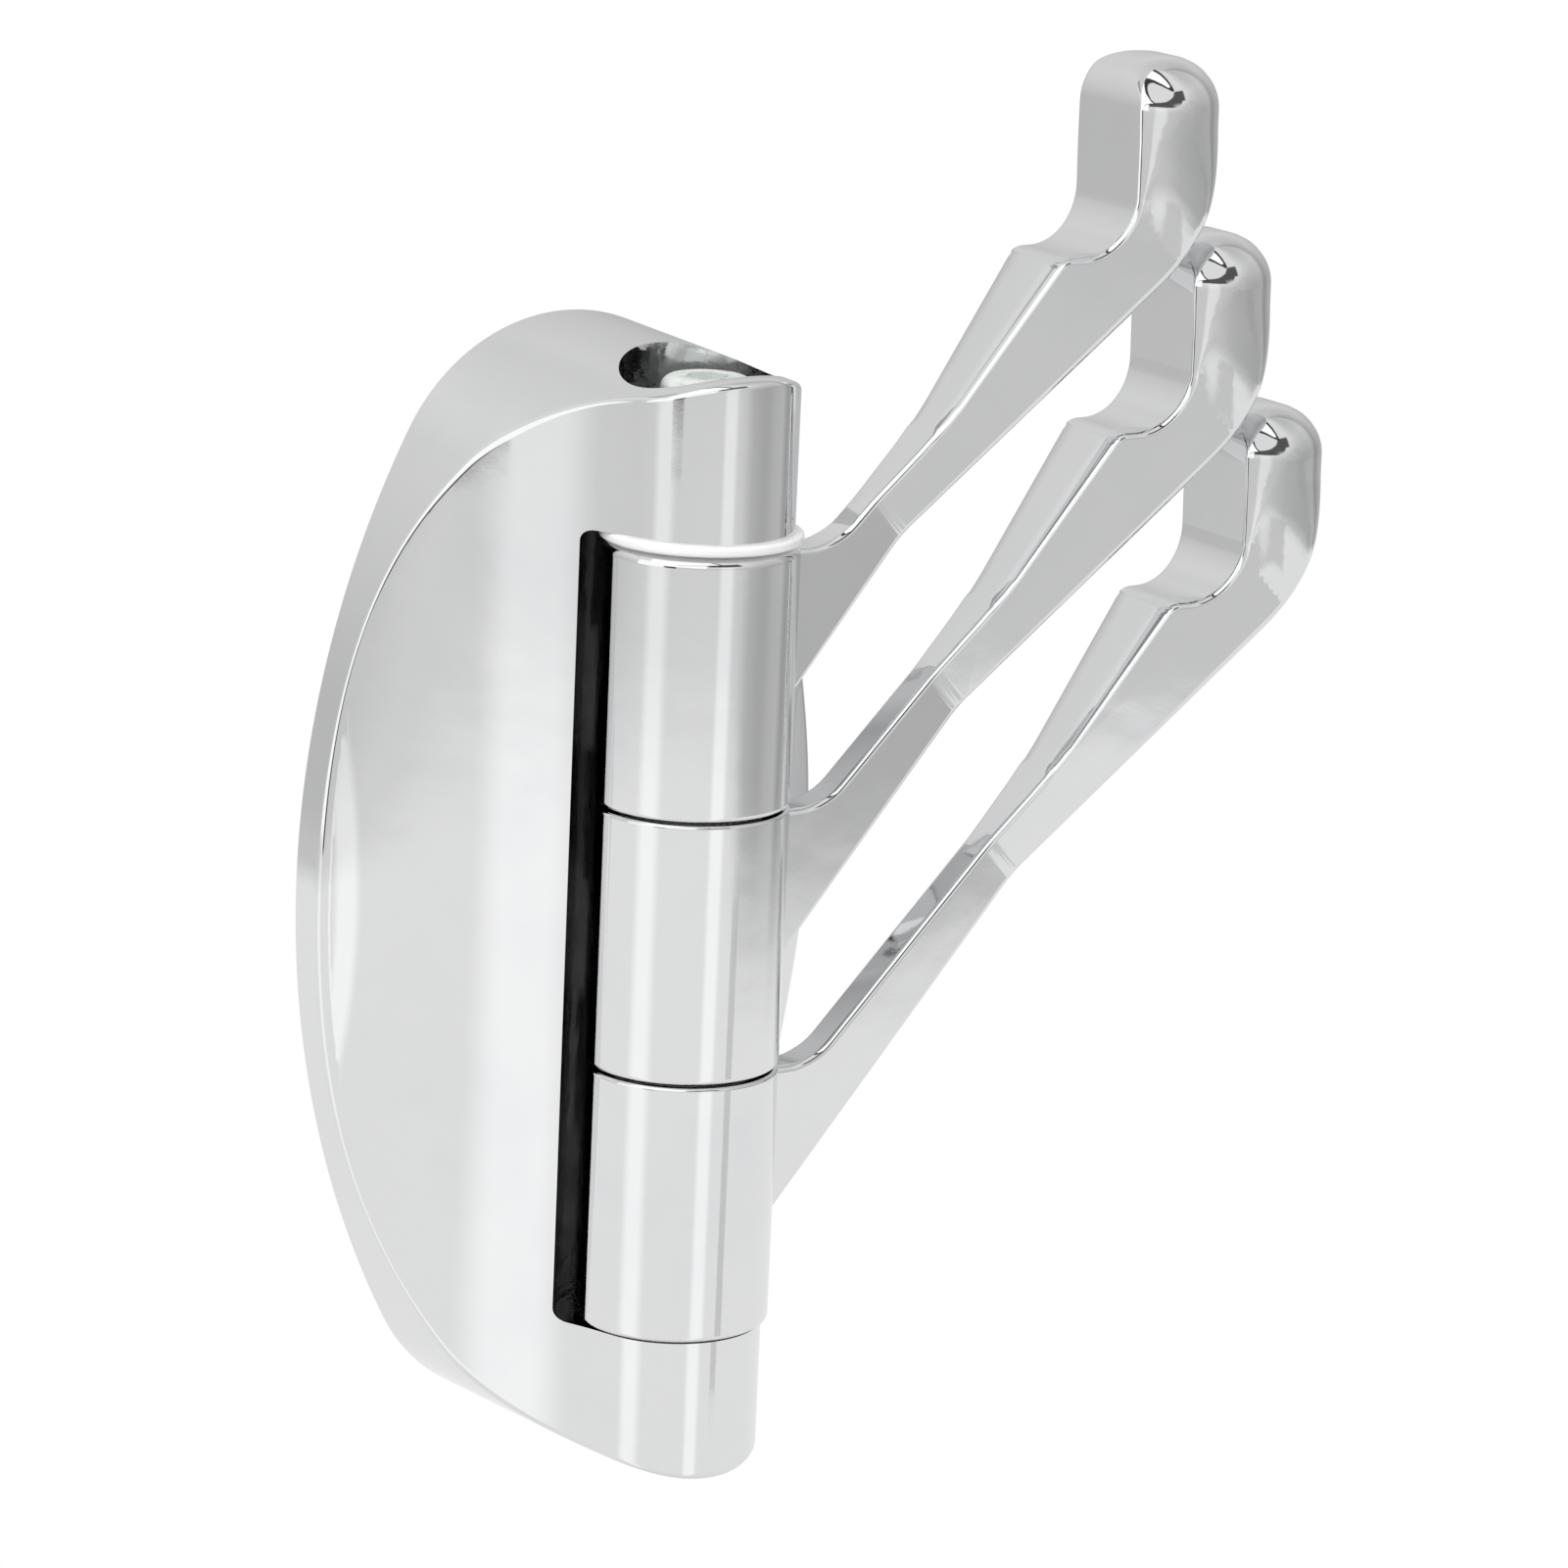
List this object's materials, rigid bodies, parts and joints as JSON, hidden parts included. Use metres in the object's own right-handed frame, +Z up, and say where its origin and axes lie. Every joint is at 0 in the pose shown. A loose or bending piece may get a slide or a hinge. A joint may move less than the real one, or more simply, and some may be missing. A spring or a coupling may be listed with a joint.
{
  "type": "swing-arm coat hook",
  "caption": "Wall-mounted clothes valet: an oval chrome casting carries swinging hook arms on an upright pivot; each arm turns through a half circle and ends in a raised knob.",
  "frame": {"origin": "centre of the oval back face, on the wall, midway between the two wall screws", "axes": "+X to the viewer's right along the wall, +Y into the wall, +Z up along the pivot"},
  "size_m": [0.0783, 0.0273, 0.1085],
  "materials": {
    "chrome_plate": "polished chrome plate on a zinc casting",
    "zinc_plate": "pale, slightly mottled zinc plate on steel",
    "spring_steel": "oiled spring steel",
    "white_nylon": "white nylon",
    "blue_nylon": "blue nylon",
    "bracket_steel": "zinc-plated pressed steel sheet",
    "black_steel": "black oxide on steel"
  },
  "bodies": {
    "base": {"body_casting": "chrome_plate", "pivot_bolt": "zinc_plate", "flat_washer": "zinc_plate", "spring_washer": "spring_steel", "top_washer": "white_nylon", "thin_washers": "white_nylon", "lock_nut": "zinc_plate", "nut_ring": "blue_nylon", "wall_bracket": "bracket_steel", "set_screw": "black_steel"},
    "upper_arm": {"arm_upper": "chrome_plate"},
    "middle_arm": {"arm_middle": "chrome_plate"},
    "lower_arm": {"arm_lower": "chrome_plate"}
  },
  "joints": [
    {"name": "upper_swing", "type": "hinge", "parent": "base", "child": "upper_arm", "pos_m": [0, -0.0196, 0.0195], "axis": [0, 0, 1], "range_deg": [-177, 3]},
    {"name": "middle_swing", "type": "hinge", "parent": "base", "child": "middle_arm", "pos_m": [0, -0.0196, -0.00085], "axis": [0, 0, 1], "range_deg": [-177, 3]},
    {"name": "lower_swing", "type": "hinge", "parent": "base", "child": "lower_arm", "pos_m": [0, -0.0196, -0.0212], "axis": [0, 0, 1], "range_deg": [-177, 3]}
  ]
}
